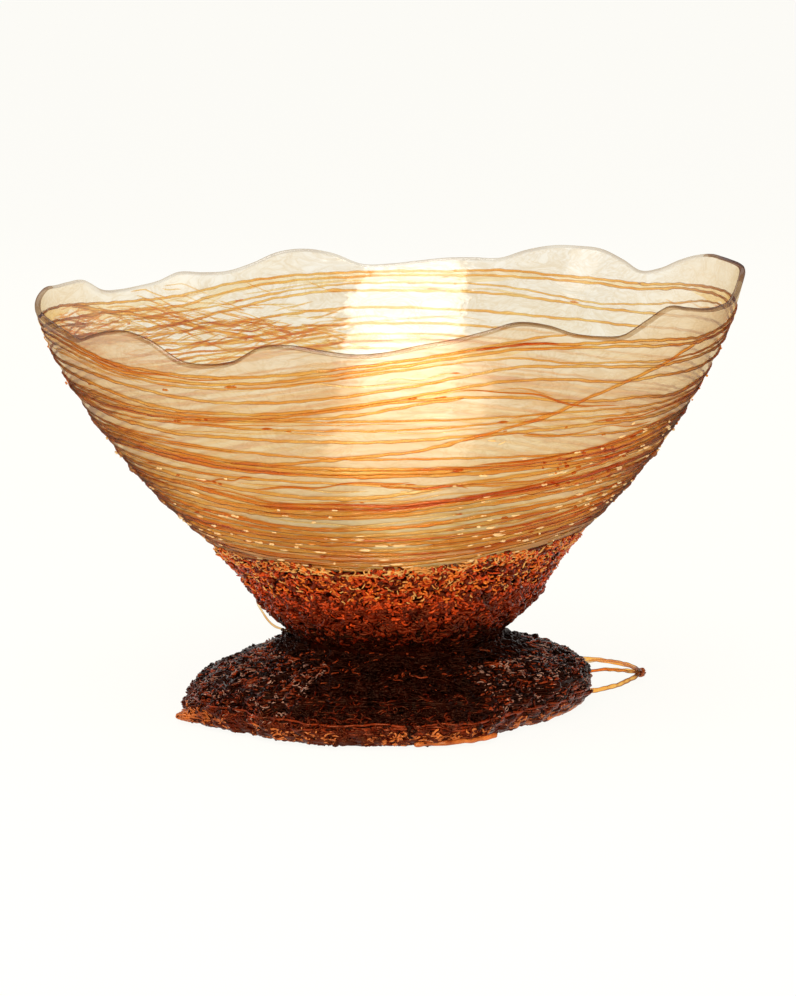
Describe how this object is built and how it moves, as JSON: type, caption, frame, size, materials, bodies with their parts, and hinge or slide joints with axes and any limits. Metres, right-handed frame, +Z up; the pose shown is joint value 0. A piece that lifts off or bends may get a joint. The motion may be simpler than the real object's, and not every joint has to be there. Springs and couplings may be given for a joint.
{
  "type": "art glass bowl",
  "caption": "Footed, flared decorative bowl: a thin clear glass skin with a wavy rim, wound with fused amber glass threads, on a neck and spreading foot of tangled threads.",
  "frame": {"origin": "on the table, under the middle of the foot's flat underside", "axes": "+Z up out of the bowl, +X to the right of the front view, -Y towards the front"},
  "size_m": [0.3555, 0.3524, 0.2261],
  "materials": {
    "skin_glass": "clear, fire-polished, slightly rippled",
    "amber_thread": "translucent amber, glossy",
    "brown_nest_glass": "translucent red-brown, glossy, tangled",
    "dark_foot_glass": "deep brown, glossy, nearly opaque",
    "pale_loop_glass": "pale amber, translucent, glossy"
  },
  "bodies": {
    "root": {"bowl_skin": "skin_glass", "cup_nest_lower": "brown_nest_glass", "cup_nest_upper": "brown_nest_glass", "cut_thread_end": "dark_foot_glass", "feather_one": "amber_thread", "feather_three": "amber_thread", "feather_two": "amber_thread", "foot_coil_high": "dark_foot_glass", "foot_coil_low": "dark_foot_glass", "foot_coil_middle": "dark_foot_glass", "foot_leaf": "pale_loop_glass", "foot_loop_a": "pale_loop_glass", "foot_loop_b": "pale_loop_glass", "foot_loop_c": "pale_loop_glass", "foot_loop_d": "pale_loop_glass", "foot_nest": "dark_foot_glass", "front_ribbon": "dark_foot_glass", "loop_knot": "pale_loop_glass", "neck_loop": "pale_loop_glass", "neck_nest": "brown_nest_glass", "neck_pad": "dark_foot_glass", "thread_a0": "amber_thread", "thread_a1": "amber_thread", "thread_a2": "amber_thread", "thread_a3": "amber_thread", "thread_a4": "amber_thread", "thread_a5": "amber_thread", "thread_a6": "amber_thread", "thread_a7": "amber_thread", "thread_a8": "amber_thread", "thread_a9": "amber_thread", "thread_b1": "amber_thread", "thread_b2": "amber_thread", "thread_b3": "amber_thread", "thread_b4": "amber_thread", "thread_b5": "amber_thread", "thread_b6": "amber_thread", "thread_b7": "amber_thread", "thread_b8": "amber_thread", "thread_c1": "amber_thread", "thread_c2": "amber_thread", "thread_c3": "amber_thread", "thread_c4": "amber_thread", "thread_c5": "amber_thread", "thread_c6": "amber_thread", "thread_c7": "amber_thread", "thread_c8": "amber_thread", "thread_d1": "amber_thread", "thread_d2": "amber_thread", "thread_d3": "amber_thread", "thread_d4": "amber_thread", "thread_slant": "amber_thread"}
  },
  "joints": []
}
